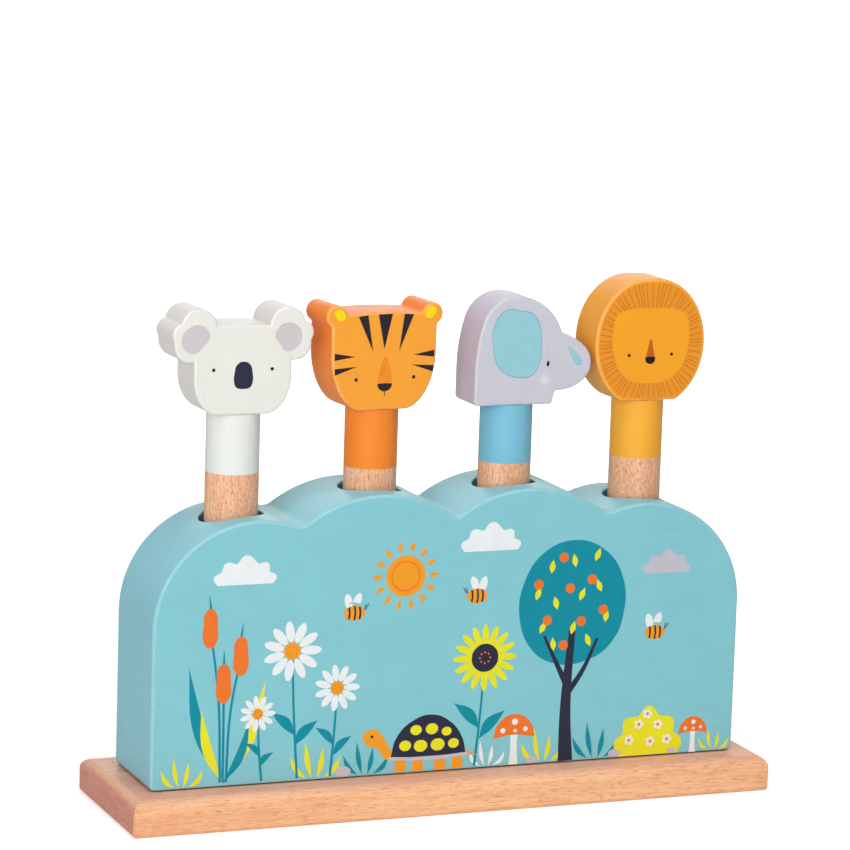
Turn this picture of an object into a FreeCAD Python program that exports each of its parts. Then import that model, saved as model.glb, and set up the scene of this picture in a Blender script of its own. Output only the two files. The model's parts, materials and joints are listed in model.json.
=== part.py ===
"""Pop up animal toy: four animal pegs that stand on springs in a scalloped block.

Millimetres. +X runs along the row of pegs, +Y to the back, +Z up. The origin is
the centre of the board's underside.
"""
import FreeCAD, Part
import math
import os

V = FreeCAD.Vector
NEAR = 0.01

# ---------------------------------------------------------------- driving sizes
# Row of pegs
ANIMALS = ("koala", "tiger", "elephant", "lion")
PEG_PITCH = 54.5

# Board
BOARD_THICKNESS = 13.4
BOARD_END_LEDGE = 10.0
BOARD_SIDE_LEDGE = 13.0
BOARD_TOP_ROUND = 5.0
BOARD_END_ROUND = 4.5
BOARD_BOTTOM_ROUND = 2.0
BOARD_CORNER_EASE = 0.6

# Block: one bump over each peg, low at the ends and high in the middle
BLOCK_DEPTH = 43.0
INNER_BUMP_RADIUS = 50.0
INNER_BUMP_RISE = 107.1
INNER_BUMP_LEAN = 2.75
OUTER_BUMP_RADIUS = 40.0
OUTER_BUMP_DROP = 7.6
OUTER_BUMP_LEAN = 3.75
MIDDLE_VALLEY_ROUND = 3.0
OUTER_VALLEY_ROUND = 6.0
BLOCK_EDGE_CHAMFER = 1.2
BLOCK_FOOT_ROUND = 2.5

# Dowels and their holes
DOWEL_DIAMETER = 20.0
PRESS_TRAVEL = 26.0
PRESSED_CHIN_GAP = 3.7
HOLE_CLEARANCE = 2.0
HOLE_RIM_CHAMFER = 0.9

# Springs
WIRE_DIAMETER = 1.0
SPRING_DIAMETER = 19.0
SPRING_LENGTH = 40.4
SPRING_CLOSED_TURNS = 1.0
SPRING_OPEN_TURNS = 4.5
CLOSED_COIL_GAP = 0.06
WIRE_SIDES = 6
COIL_STEPS = 10
SPRING_SEAT_DEPTH = 4.4
SPRING_SEAT_CLEARANCE = 0.25
SPRING_END_CLEARANCE = 0.1

# Pins that join head and dowel
PIN_DIAMETER = 8.0
PIN_LENGTH = 24.0
PIN_CLEARANCE = 0.05
PIN_END_GAP = 0.5

# Screws from below the board, one between each outer pair of holes
SCREW_DIAMETER = 4.0
SCREW_LENGTH = 30.0
SCREW_POINT_LENGTH = 4.0
SCREW_HEAD_DIAMETER = 8.0
SCREW_HEAD_HEIGHT = 2.6
SCREW_FIT = 0.05
SCREW_END_GAP = 1.0

# Heads
HEAD_THICKNESS = 20.0
HEAD_EDGE_CHAMFER = 1.0
HEAD_TURNS = {"koala": 1.0, "tiger": 4.0, "elephant": 0.0, "lion": 0.0}

KOALA_CHEEK_HALF = 18.9
KOALA_CHIN_HALF = 8.8
KOALA_CHEEK_RISE = 13.8
KOALA_CROWN_RISE = 32.8
KOALA_CROWN_CAMBER = 0.5
KOALA_EAR_ROOT_RISE = 19.8
KOALA_EAR_ROOT_HALF = 10.2
KOALA_EAR_NOTCHES = ((26.5, 27.2), (24.1, 34.2))
KOALA_EAR_LOBE_TIPS = ((25.0, 21.9), (27.3, 30.6), (18.9, 39.4))

TIGER_CHEEK_HALF = 21.4
TIGER_CHIN_HALF = 8.5
TIGER_CHEEK_RISE = 21.8
TIGER_CROWN_RISE = 36.2
TIGER_CROWN_CAMBER = 0.6
TIGER_EAR_RADIUS = 4.2
TIGER_EAR_INSET = 1.9
TIGER_EAR_DROP = 0.7
TIGER_EAR_BLEND = 1.2

ELEPHANT_BACK = 17.2
ELEPHANT_BACK_RISE = 12.0
ELEPHANT_HEEL_ROUND = 1.8
ELEPHANT_DOME = ((-14.4, 31.3), (0.1, 41.3))
ELEPHANT_BROW = (17.8, 27.2)
ELEPHANT_TRUNK_START_DEGREES = -16.0
ELEPHANT_TRUNK = ((27.6, 21.5), (27.2, 8.9))
ELEPHANT_THROAT = (15.6, 5.2)
ELEPHANT_CHIN_FRONT = 14.5
ELEPHANT_BROW_ROUND = 1.2
ELEPHANT_THROAT_ROUND = 1.2

LION_HALF_WIDTH = 22.75
LION_HEIGHT = 46.6
LION_CHIN_CUT = 2.4
LION_CROWN_HALF = 2.5
LION_CHIN_ROUND = 3.0

# ---------------------------------------------------------------- derived places
FIRST_PEG_X = -PEG_PITCH * (len(ANIMALS) - 1) / 2
OUTER_BUMP_X = -FIRST_PEG_X - OUTER_BUMP_LEAN
INNER_BUMP_X = PEG_PITCH / 2 + INNER_BUMP_LEAN
BLOCK_TOP = BOARD_THICKNESS + INNER_BUMP_RISE
INNER_BUMP_Z = BLOCK_TOP - INNER_BUMP_RADIUS
OUTER_BUMP_Z = BLOCK_TOP - OUTER_BUMP_DROP - OUTER_BUMP_RADIUS
BLOCK_LENGTH = 2 * (OUTER_BUMP_X + OUTER_BUMP_RADIUS)
BOARD_LENGTH = BLOCK_LENGTH + 2 * BOARD_END_LEDGE
BOARD_DEPTH = BLOCK_DEPTH + 2 * BOARD_SIDE_LEDGE
HOLE_RADIUS = DOWEL_DIAMETER / 2 + HOLE_CLEARANCE
SPRING_FLOOR = BOARD_THICKNESS - SPRING_SEAT_DEPTH
DOWEL_FOOT = SPRING_FLOOR + SPRING_LENGTH + 2 * SPRING_END_CLEARANCE
CHIN = BLOCK_TOP + PRESS_TRAVEL + PRESSED_CHIN_GAP
PIN_HOLE_RADIUS = PIN_DIAMETER / 2 + PIN_CLEARANCE
PIN_HOLE_DEPTH = PIN_LENGTH / 2 + PIN_END_GAP
SCREW_XS = (-PEG_PITCH, PEG_PITCH)


def peg_x(animal):
    return FIRST_PEG_X + PEG_PITCH * ANIMALS.index(animal)


# ---------------------------------------------------------------- outline helpers
def at(point):
    """A point of an outline, (x, z), in the XZ plane."""
    return V(point[0], 0, point[1])


def line(start, end):
    return Part.LineSegment(at(start), at(end)).toShape()


def arc(start, middle, end):
    return Part.Arc(at(start), at(middle), at(end)).toShape()


def tangent_arcs(points, start_degrees):
    """Arcs through the points, each one tangent to the last; the first sets off at this angle."""
    edges = []
    heading = math.radians(start_degrees)
    for start, end in zip(points, points[1:]):
        chord = math.atan2(end[1] - start[1], end[0] - start[0])
        turn = math.remainder(chord - heading, 2 * math.pi)
        half_chord = math.dist(start, end) / 2
        bulge = half_chord * math.tan(turn / 2)
        middle = ((start[0] + end[0]) / 2 + bulge * math.sin(chord),
                  (start[1] + end[1]) / 2 - bulge * math.cos(chord))
        edges.append(arc(start, middle, end))
        heading += 2 * turn
    return edges


def ellipse_point(centre, half_width, half_height, degrees):
    angle = math.radians(degrees)
    return (centre[0] + half_width * math.cos(angle), centre[1] + half_height * math.sin(angle))


def ellipse_arc(centre, half_width, half_height, start_degrees, end_degrees):
    """Arc of an upright ellipse, anticlockwise from start to end as seen from the front."""
    tall = half_height > half_width
    if tall:
        major, minor = (0, half_height), (-half_width, 0)
    else:
        major, minor = (half_width, 0), (0, half_height)
    whole = Part.Ellipse(at(centre) + at(major), at(centre) + at(minor), at(centre))
    start = whole.parameter(at(ellipse_point(centre, half_width, half_height, start_degrees)))
    end = whole.parameter(at(ellipse_point(centre, half_width, half_height, end_degrees)))
    return Part.ArcOfEllipse(whole, start, end).toShape()


def plate(edges, depth):
    """A closed outline made a solid, centred on y = 0."""
    wire = Part.Wire(Part.__sortEdges__(edges))
    face = Part.Face(wire)
    return face.extrude(V(0, depth, 0)).translated(V(0, -depth / 2, 0))


def edges_across(solid, picks, depth):
    """Edges that run straight from front to back through the given (x, z) points."""
    found = []
    for edge in solid.Edges:
        middle = edge.CenterOfMass
        if abs(middle.y) > NEAR or abs(edge.BoundBox.YLength - depth) > NEAR:
            continue
        if any(math.hypot(middle.x - x, middle.z - z) < 5 * NEAR for x, z in picks):
            found.append(edge)
    return found


def outline_edges(solid, depth):
    """Edges of the front and back outlines."""
    return [edge for edge in solid.Edges
            if abs(abs(edge.CenterOfMass.y) - depth / 2) < NEAR and edge.BoundBox.YLength < NEAR]


def write(name, shape):
    shape.exportStep(os.path.join("parts", name + ".step"))


# ---------------------------------------------------------------- board
def rounded(blank, edges, top_round):
    """The blank with two facing sides rounded over, above and below."""
    upper = [edge for edge in edges if edge.CenterOfMass.z > NEAR]
    lower = [edge for edge in edges if edge.CenterOfMass.z < NEAR]
    return blank.makeFillet(top_round, upper).common(blank.makeFillet(BOARD_BOTTOM_ROUND, lower))


def make_board():
    """Rounded all round its top, eased at its corners, with a seat for each spring."""
    blank = Part.makeBox(BOARD_LENGTH, BOARD_DEPTH, BOARD_THICKNESS,
                         V(-BOARD_LENGTH / 2, -BOARD_DEPTH / 2, 0))
    long_edges = [edge for edge in blank.Edges if edge.BoundBox.XLength > NEAR]
    end_edges = [edge for edge in blank.Edges if edge.BoundBox.YLength > NEAR]
    upright_edges = [edge for edge in blank.Edges if edge.BoundBox.ZLength > NEAR]
    board = blank.makeChamfer(BOARD_CORNER_EASE, upright_edges)
    board = board.common(rounded(blank, long_edges, BOARD_TOP_ROUND))
    board = board.common(rounded(blank, end_edges, BOARD_END_ROUND)).removeSplitter()
    for animal in ANIMALS:
        board = board.cut(Part.makeCylinder(SPRING_DIAMETER / 2 + SPRING_SEAT_CLEARANCE,
                                            SPRING_SEAT_DEPTH, V(peg_x(animal), 0, SPRING_FLOOR)))
    for x in SCREW_XS:
        board = board.cut(screw_hole(x))
    return board


# ---------------------------------------------------------------- block
def circle_height(centre_x, centre_z, radius, x):
    return centre_z + math.sqrt(radius ** 2 - (x - centre_x) ** 2)


def outer_valley():
    """Where the outer bump's circle meets the inner one's, above their centres."""
    gap_x = OUTER_BUMP_X - INNER_BUMP_X
    gap_z = OUTER_BUMP_Z - INNER_BUMP_Z
    gap = math.hypot(gap_x, gap_z)
    along = (gap ** 2 + INNER_BUMP_RADIUS ** 2 - OUTER_BUMP_RADIUS ** 2) / (2 * gap)
    across = math.sqrt(INNER_BUMP_RADIUS ** 2 - along ** 2)
    x = INNER_BUMP_X + (along * gap_x - across * gap_z) / gap
    z = INNER_BUMP_Z + (along * gap_z + across * gap_x) / gap
    return (x, z)


def block_outline():
    valley = outer_valley()
    middle = (0, circle_height(INNER_BUMP_X, INNER_BUMP_Z, INNER_BUMP_RADIUS, 0))
    foot = (BLOCK_LENGTH / 2, BOARD_THICKNESS)
    shoulder = (BLOCK_LENGTH / 2, OUTER_BUMP_Z)
    outer_crest = (OUTER_BUMP_X, OUTER_BUMP_Z + OUTER_BUMP_RADIUS)
    inner_crest = (INNER_BUMP_X, INNER_BUMP_Z + INNER_BUMP_RADIUS)
    half = [foot, shoulder, outer_crest, valley, inner_crest, middle]
    edges = [line((-foot[0], foot[1]), foot)]
    for points in (half, [(-x, z) for x, z in half]):
        edges.append(line(points[0], points[1]))
        edges.append(arc(points[1], points[2], points[3]))
        edges.append(arc(points[3], points[4], points[5]))
    return edges, valley, middle


def make_block():
    edges, valley, middle = block_outline()
    block = plate(edges, BLOCK_DEPTH)
    block = block.makeFillet(MIDDLE_VALLEY_ROUND, edges_across(block, [middle], BLOCK_DEPTH))
    valleys = [valley, (-valley[0], valley[1])]
    block = block.makeFillet(OUTER_VALLEY_ROUND, edges_across(block, valleys, BLOCK_DEPTH))
    feet = [(side * BLOCK_LENGTH / 2, BOARD_THICKNESS) for side in (1, -1)]
    block = block.makeFillet(BLOCK_FOOT_ROUND, edges_across(block, feet, BLOCK_DEPTH))
    block = block.makeChamfer(BLOCK_EDGE_CHAMFER, outline_edges(block, BLOCK_DEPTH))
    for animal in ANIMALS:
        block = block.cut(Part.makeCylinder(HOLE_RADIUS, BLOCK_TOP, V(peg_x(animal), 0, 0)))
    rims = [edge for edge in block.Edges
            if edge.BoundBox.ZMin > OUTER_BUMP_Z and on_a_hole(edge)]
    block = block.makeChamfer(HOLE_RIM_CHAMFER, rims)
    for x in SCREW_XS:
        block = block.cut(screw_hole(x))
    return block


def on_a_hole(edge):
    """Whether an edge lies on the wall of one peg hole."""
    points = edge.discretize(5)
    for animal in ANIMALS:
        if all(abs(math.hypot(p.x - peg_x(animal), p.y) - HOLE_RADIUS) < NEAR for p in points):
            return True
    return False


# ---------------------------------------------------------------- screws
def screw(x):
    """A countersunk wood screw, head down and flush with the board's underside."""
    shank = SCREW_DIAMETER / 2
    head = Part.makeCone(SCREW_HEAD_DIAMETER / 2, shank, SCREW_HEAD_HEIGHT, V(x, 0, 0))
    shank_length = SCREW_LENGTH - SCREW_HEAD_HEIGHT - SCREW_POINT_LENGTH
    body = Part.makeCylinder(shank, shank_length, V(x, 0, SCREW_HEAD_HEIGHT))
    point = Part.makeCone(shank, 0, SCREW_POINT_LENGTH, V(x, 0, SCREW_LENGTH - SCREW_POINT_LENGTH))
    return head.fuse([body, point])


def screw_hole(x):
    """Countersink in the board and the pilot hole that runs on into the block."""
    radius = SCREW_DIAMETER / 2 + SCREW_FIT
    countersink = Part.makeCone(SCREW_HEAD_DIAMETER / 2 + SCREW_FIT, radius, SCREW_HEAD_HEIGHT, V(x, 0, 0))
    return countersink.fuse(Part.makeCylinder(radius, SCREW_LENGTH + SCREW_END_GAP, V(x, 0, 0)))


def make_screws():
    return Part.makeCompound([screw(x) for x in SCREW_XS])


# ---------------------------------------------------------------- springs
def wire_rise(turn):
    """Height of the wire's centre above the spring's underside, after so many turns."""
    closed_lead = WIRE_DIAMETER + CLOSED_COIL_GAP
    open_lead = ((SPRING_LENGTH - WIRE_DIAMETER - 2 * SPRING_CLOSED_TURNS * closed_lead)
                 / SPRING_OPEN_TURNS)
    open_turns = min(max(turn - SPRING_CLOSED_TURNS, 0), SPRING_OPEN_TURNS)
    return WIRE_DIAMETER / 2 + (turn - open_turns) * closed_lead + open_turns * open_lead


def make_spring(animal):
    """Compression spring with closed ends: a many-sided wire mitred along its coil."""
    coil_radius = (SPRING_DIAMETER - WIRE_DIAMETER) / 2
    underside = SPRING_FLOOR + SPRING_END_CLEARANCE
    turns = 2 * SPRING_CLOSED_TURNS + SPRING_OPEN_TURNS
    steps = round(turns * COIL_STEPS)
    route = []
    for step in range(steps + 1):
        turn = turns * step / steps
        route.append(V(peg_x(animal) + coil_radius * math.cos(2 * math.pi * turn),
                       coil_radius * math.sin(2 * math.pi * turn), underside + wire_rise(turn)))
    ahead = (route[1] - route[0]).normalize()
    upward = (V(0, 0, 1) - ahead * ahead.z).normalize()
    outward = ahead.cross(upward)
    corner_radius = WIRE_DIAMETER / 2 / math.cos(math.pi / WIRE_SIDES)
    section = []
    for corner in range(WIRE_SIDES + 1):
        angle = 2 * math.pi * corner / WIRE_SIDES
        section.append(route[0] + outward * (corner_radius * math.cos(angle))
                       + upward * (corner_radius * math.sin(angle)))
    mitred = 1
    return Part.makePolygon(route).makePipeShell([Part.makePolygon(section)], True, True, mitred)


# ---------------------------------------------------------------- pegs
def make_dowel(animal):
    dowel = Part.makeCylinder(DOWEL_DIAMETER / 2, CHIN - DOWEL_FOOT, V(peg_x(animal), 0, DOWEL_FOOT))
    return dowel.cut(pin_hole(animal))


def pin_hole(animal):
    return Part.makeCylinder(PIN_HOLE_RADIUS, 2 * PIN_HOLE_DEPTH,
                             V(peg_x(animal), 0, CHIN - PIN_HOLE_DEPTH))


def make_pin(animal):
    return Part.makeCylinder(PIN_DIAMETER / 2, PIN_LENGTH, V(peg_x(animal), 0, CHIN - PIN_LENGTH / 2))


# ---------------------------------------------------------------- heads
# Each outline is in (x, z) from the point where the chin meets the dowel's axis.
def koala_head():
    """Broad face on a flat chin, with two big ears, each of three lobes."""
    cheek_top = (KOALA_CHEEK_HALF, KOALA_CHEEK_RISE)
    ear_root = (KOALA_CHEEK_HALF, KOALA_EAR_ROOT_RISE)
    crown = (KOALA_EAR_ROOT_HALF, KOALA_CROWN_RISE)
    semi_width = KOALA_CHEEK_HALF - KOALA_CHIN_HALF
    edges = [line((-KOALA_CHIN_HALF, 0), (KOALA_CHIN_HALF, 0))]
    edges.append(ellipse_arc((KOALA_CHIN_HALF, KOALA_CHEEK_RISE), semi_width, KOALA_CHEEK_RISE, 270, 360))
    edges.append(ellipse_arc((-KOALA_CHIN_HALF, KOALA_CHEEK_RISE), semi_width, KOALA_CHEEK_RISE, 180, 270))
    lobe_ends = [ear_root, *KOALA_EAR_NOTCHES, crown]
    for side in (1, -1):
        edges.append(line((side * cheek_top[0], cheek_top[1]), (side * ear_root[0], ear_root[1])))
        for start, tip, end in zip(lobe_ends, KOALA_EAR_LOBE_TIPS, lobe_ends[1:]):
            edges.append(arc(*[(side * x, z) for x, z in (start, tip, end)]))
    edges.append(arc((-crown[0], crown[1]), (0, crown[1] + KOALA_CROWN_CAMBER), crown))
    return plate(edges, HEAD_THICKNESS)


def tiger_head():
    """Broad face on a flat chin, with two small round ears at its top corners."""
    semi_width = TIGER_CHEEK_HALF - TIGER_CHIN_HALF
    ear = (TIGER_CHEEK_HALF - TIGER_EAR_INSET, TIGER_CROWN_RISE - TIGER_EAR_DROP)
    low = (TIGER_CHEEK_HALF, ear[1] - math.sqrt(TIGER_EAR_RADIUS ** 2 - TIGER_EAR_INSET ** 2))
    inner = (ear[0] - math.sqrt(TIGER_EAR_RADIUS ** 2 - TIGER_EAR_DROP ** 2), TIGER_CROWN_RISE)
    tip = ellipse_point(ear, TIGER_EAR_RADIUS, TIGER_EAR_RADIUS, 45)
    edges = [line((-TIGER_CHIN_HALF, 0), (TIGER_CHIN_HALF, 0))]
    edges.append(ellipse_arc((TIGER_CHIN_HALF, TIGER_CHEEK_RISE), semi_width, TIGER_CHEEK_RISE, 270, 360))
    edges.append(ellipse_arc((-TIGER_CHIN_HALF, TIGER_CHEEK_RISE), semi_width, TIGER_CHEEK_RISE, 180, 270))
    for side in (1, -1):
        edges.append(line((side * TIGER_CHEEK_HALF, TIGER_CHEEK_RISE), (side * low[0], low[1])))
        edges.append(arc(*[(side * x, z) for x, z in (low, tip, inner)]))
    edges.append(arc((-inner[0], inner[1]), (0, TIGER_CROWN_RISE + TIGER_CROWN_CAMBER), inner))
    head = plate(edges, HEAD_THICKNESS)
    corners = [(side * x, z) for side in (1, -1) for x, z in (low, inner)]
    return head.makeFillet(TIGER_EAR_BLEND, edges_across(head, corners, HEAD_THICKNESS))


def elephant_head():
    """Domed head seen from the side, its trunk curled short to the right."""
    heel = (-ELEPHANT_BACK, 0)
    back = (-ELEPHANT_BACK, ELEPHANT_BACK_RISE)
    chin = (ELEPHANT_CHIN_FRONT, 0)
    edges = [line(heel, chin), line(chin, ELEPHANT_THROAT), line(heel, back)]
    edges += tangent_arcs([back, *ELEPHANT_DOME, ELEPHANT_BROW], 90)
    edges += tangent_arcs([ELEPHANT_BROW, *ELEPHANT_TRUNK, ELEPHANT_THROAT], ELEPHANT_TRUNK_START_DEGREES)
    head = plate(edges, HEAD_THICKNESS)
    head = head.makeFillet(ELEPHANT_HEEL_ROUND, edges_across(head, [heel], HEAD_THICKNESS))
    head = head.makeFillet(ELEPHANT_BROW_ROUND, edges_across(head, [ELEPHANT_BROW], HEAD_THICKNESS))
    return head.makeFillet(ELEPHANT_THROAT_ROUND, edges_across(head, [ELEPHANT_THROAT, chin], HEAD_THICKNESS))


def lion_head():
    """A thick round mane, its lowest part cut off flat at the chin."""
    semi_width = LION_HALF_WIDTH - LION_CROWN_HALF
    semi_height = (LION_HEIGHT + LION_CHIN_CUT) / 2
    middle_z = LION_HEIGHT - semi_height
    chin_angle = math.degrees(math.asin(middle_z / semi_height))
    chin = ellipse_point((LION_CROWN_HALF, middle_z), semi_width, semi_height, -chin_angle)
    edges = [line((-chin[0], 0), (chin[0], 0)),
             line((-LION_CROWN_HALF, LION_HEIGHT), (LION_CROWN_HALF, LION_HEIGHT))]
    edges.append(ellipse_arc((LION_CROWN_HALF, middle_z), semi_width, semi_height,
                             -chin_angle, 90))
    edges.append(ellipse_arc((-LION_CROWN_HALF, middle_z), semi_width, semi_height,
                             90, 180 + chin_angle))
    head = plate(edges, HEAD_THICKNESS)
    corners = [chin, (-chin[0], 0)]
    return head.makeFillet(LION_CHIN_ROUND, edges_across(head, corners, HEAD_THICKNESS))


HEAD_MAKERS = {"koala": koala_head, "tiger": tiger_head, "elephant": elephant_head, "lion": lion_head}


def make_head(animal):
    head = HEAD_MAKERS[animal]()
    head = head.makeChamfer(HEAD_EDGE_CHAMFER, outline_edges(head, HEAD_THICKNESS))
    head = head.rotated(V(0, 0, 0), V(0, 0, 1), HEAD_TURNS[animal])
    head = head.translated(V(peg_x(animal), 0, CHIN))
    return head.cut(pin_hole(animal))


# ---------------------------------------------------------------- the toy
def main():
    os.makedirs("parts", exist_ok=True)
    write("base_board", make_board())
    write("hole_block", make_block())
    write("base_screws", make_screws())
    for animal in ANIMALS:
        write(animal + "_spring", make_spring(animal))
        write(animal + "_pin", make_pin(animal))
        write(animal + "_dowel", make_dowel(animal))
        write(animal + "_head", make_head(animal))


main()
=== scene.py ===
"""Pop up animal toy: the finish of its wooden, painted and printed pieces, its springs and its screws.

Laid out as an add-on and run as a script. Metres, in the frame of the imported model: +X runs
along the row of pegs, +Y to the back, +Z up.
"""

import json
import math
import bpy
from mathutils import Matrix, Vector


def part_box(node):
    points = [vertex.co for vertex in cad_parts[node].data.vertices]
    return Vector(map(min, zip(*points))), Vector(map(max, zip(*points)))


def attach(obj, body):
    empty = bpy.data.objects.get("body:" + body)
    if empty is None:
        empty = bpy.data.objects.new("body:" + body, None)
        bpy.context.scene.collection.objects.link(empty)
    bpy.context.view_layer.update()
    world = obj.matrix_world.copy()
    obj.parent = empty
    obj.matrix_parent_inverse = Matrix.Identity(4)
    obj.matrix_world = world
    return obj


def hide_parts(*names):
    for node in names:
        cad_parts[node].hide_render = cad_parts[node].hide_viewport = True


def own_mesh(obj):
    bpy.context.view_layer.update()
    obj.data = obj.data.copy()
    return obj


bl_info = {
    "name": "Pop up animal toy",
    "version": (1, 0, 0),
    "blender": (4, 5, 0),
    "location": "View3D > Sidebar > Toy",
    "description": "Builds a wooden pop up toy with four animal pegs around its packed model",
    "category": "Object",
}

import bmesh
import bpy
from bpy.props import FloatProperty, FloatVectorProperty, IntProperty, PointerProperty
from mathutils import Matrix, Quaternion, Vector
from mathutils.geometry import intersect_line_line_2d

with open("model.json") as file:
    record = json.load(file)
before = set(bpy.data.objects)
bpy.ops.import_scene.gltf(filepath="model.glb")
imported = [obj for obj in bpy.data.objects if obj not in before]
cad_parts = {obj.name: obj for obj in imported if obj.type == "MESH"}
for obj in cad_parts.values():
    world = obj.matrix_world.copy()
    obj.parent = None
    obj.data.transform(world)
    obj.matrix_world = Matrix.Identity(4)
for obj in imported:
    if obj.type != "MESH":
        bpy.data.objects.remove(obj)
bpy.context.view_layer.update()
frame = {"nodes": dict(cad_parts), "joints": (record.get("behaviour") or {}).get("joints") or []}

MM = 0.001
WELD = 1e-6
ANIMALS = ("koala", "tiger", "elephant", "lion")
JOINTS = {joint["name"]: joint for joint in frame["joints"]}
CHIN_Z = JOINTS["koala_turn"]["pos_m"][2]
BLOCK_LOW, BLOCK_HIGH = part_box("hole_block")
HEAD_THICKNESS = 20 * MM
PEG_HOLE_RADIUS = 12 * MM
PIN_HOLE_RADIUS = 4.05 * MM
PIN_HOLE_DEPTH = 12.5 * MM
ROUND_SEGMENTS = 96
PIN_HOLE_SEGMENTS = 48
RIM_ROWS = 3
SHARP_ANGLE = math.radians(35)
LAMP_PLACES = {"front": (-0.75, -1.6, 0.55), "left": (-1.3, -1.2, 0.7), "over": (0.0, -0.6, 1.7),
               "back": (0.5, 1.8, 0.9)}
LAMP_SIZE = 1.1
TOY_MIDDLE = (0, 0, 0.11)
FLOOR_REACH = 6.0


def peg_x(animal):
    return JOINTS[animal + "_turn"]["pos_m"][0]


def shade(red, green, blue):
    """A colour given as on a paint chart, 0 to 255, in the linear form that the shaders read."""
    def linear(value):
        share = value / 255
        return share / 12.92 if share <= 0.04045 else ((share + 0.055) / 1.055) ** 2.4
    return (linear(red), linear(green), linear(blue))


def colour_prop(name, description, red, green, blue):
    return FloatVectorProperty(name=name, description=description, subtype="COLOR", size=3,
                               min=0, max=1, default=shade(red, green, blue))


def length_prop(name, description, millimetres):
    return FloatProperty(name=name, description=description, unit="LENGTH", min=0,
                         default=millimetres * MM)


# ------------------------------------------------------------------ settings
class ToyWoodSettings(bpy.types.PropertyGroup):
    """The beech of the board and the dowels"""
    board: colour_prop("Board", "Colour of the lacquered board", 255, 198, 149)
    # Painted reflection: the board's upper face takes this pinker tone.
    board_top_reflection: colour_prop("Board top", "Pinker wood of the board's upper face", 246, 186, 156)
    dowel: colour_prop("Dowel", "Colour of the lacquered dowels", 255, 202, 163)
    streak: colour_prop("Streak", "Colour of the darker growth streaks", 234, 157, 116)
    fleck: colour_prop("Fleck", "Colour of the ray flecks", 198, 108, 66)
    end_grain: colour_prop("End grain", "Colour of the sawn ends", 222, 154, 136)
    fleck_spacing: length_prop("Fleck spacing", "Distance between flecks across the grain", 0.35)
    board_fleck: length_prop("Board fleck", "Length of a fleck along the board", 4.0)
    dowel_fleck: length_prop("Dowel fleck", "Length of a fleck along a dowel", 1.5)
    board_figure: FloatProperty(name="Board figure", description="How thick the flecks of the board stand",
                                subtype="FACTOR", min=0, max=1, default=0.4)
    dowel_figure: FloatProperty(name="Dowel figure", description="How thick the flecks of the dowels stand",
                                subtype="FACTOR", min=0, max=1, default=0.85)


class ToyPaintSettings(bpy.types.PropertyGroup):
    """The paints on the block, the heads and the necks"""
    block: colour_prop("Block", "Light teal of the block", 135, 203, 212)
    # Painted reflection: a lighter, bluer tone on the block's top, ends and underside.
    block_side: colour_prop("Block side", "The block's paint over end grain", 141, 204, 217)
    # Painted shade: a darker teal for the walls of the peg holes.
    bore: colour_prop("Bore", "Paint inside the peg holes", 88, 166, 190)
    # Painted shadow: a dark line at the foot of the block, where it meets the board.
    joint: colour_prop("Joint", "Dark line where the block meets the board", 44, 46, 56)
    koala: colour_prop("Koala", "Warm white of the koala", 236, 235, 227)
    tiger: colour_prop("Tiger", "Orange of the tiger", 255, 166, 52)
    elephant: colour_prop("Elephant", "Lilac grey of the elephant", 206, 205, 216)
    lion: colour_prop("Lion", "Golden yellow of the lion", 252, 168, 34)
    # Painted shade: darker tones of each head's paint on the faces that do not look to the front or back.
    koala_side: colour_prop("Koala side", "The koala's paint over end grain", 234, 230, 224)
    tiger_side: colour_prop("Tiger side", "The tiger's paint over end grain", 255, 138, 44)
    elephant_side: colour_prop("Elephant side", "The elephant's paint over end grain", 206, 199, 214)
    lion_side: colour_prop("Lion side", "The lion's paint over end grain", 252, 166, 38)
    koala_neck: colour_prop("Koala neck", "White band under the koala", 233, 235, 230)
    tiger_neck: colour_prop("Tiger neck", "Orange band under the tiger", 252, 138, 40)
    elephant_neck: colour_prop("Elephant neck", "Sky blue band under the elephant", 124, 194, 218)
    lion_neck: colour_prop("Lion neck", "Golden band under the lion", 254, 178, 52)
    neck_length: length_prop("Neck length", "Length of the painted band below each chin", 22.3)


class ToyInkSettings(bpy.types.PropertyGroup):
    """The inks of the printed faces and of the picture on the block"""
    navy: colour_prop("Navy", "Trunk, shell and the koala's nose", 38, 39, 62)
    stripe: colour_prop("Stripe", "The tiger's stripes and nose", 34, 27, 36)
    teal: colour_prop("Teal", "Dark leaves and stems", 0, 141, 160)
    lime: colour_prop("Lime", "Bright leaves, petals and the tortoise's patches", 234, 228, 36)
    white: colour_prop("White", "Daisies, toadstool stems and clouds", 236, 240, 241)
    orange: colour_prop("Orange", "Toadstools, fruit and reed heads", 240, 118, 40)
    amber: colour_prop("Amber", "Sun, bees, tortoise and the daisies' hearts", 244, 158, 34)
    lilac: colour_prop("Lilac", "Pebbles, one cloud and the rim of the shell", 197, 193, 203)
    ear_grey: colour_prop("Ear grey", "Inside of the koala's ears", 207, 200, 203)
    ear_yellow: colour_prop("Ear yellow", "Inside of the tiger's ears", 255, 220, 10)
    ear_teal: colour_prop("Ear teal", "The elephant's ear and its drop", 150, 204, 213)
    ear_rim: colour_prop("Ear rim", "Thin rim of the elephant's ear", 124, 179, 192)
    blush: colour_prop("Blush", "The elephant's cheek", 224, 225, 229)
    ginger: colour_prop("Ginger", "Bridge of the tiger's nose", 248, 142, 36)
    rust: colour_prop("Rust", "Fine lines on the tiger's nose", 214, 116, 44)
    mane: colour_prop("Mane", "Ground of the lion's mane", 236, 150, 40)
    mane_line: colour_prop("Mane line", "Hairs of the lion's mane", 208, 118, 28)
    brown: colour_prop("Brown", "Bridge of the lion's nose", 193, 95, 30)
    black: colour_prop("Black", "Eyes and the lion's nose", 12, 11, 15)


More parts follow.
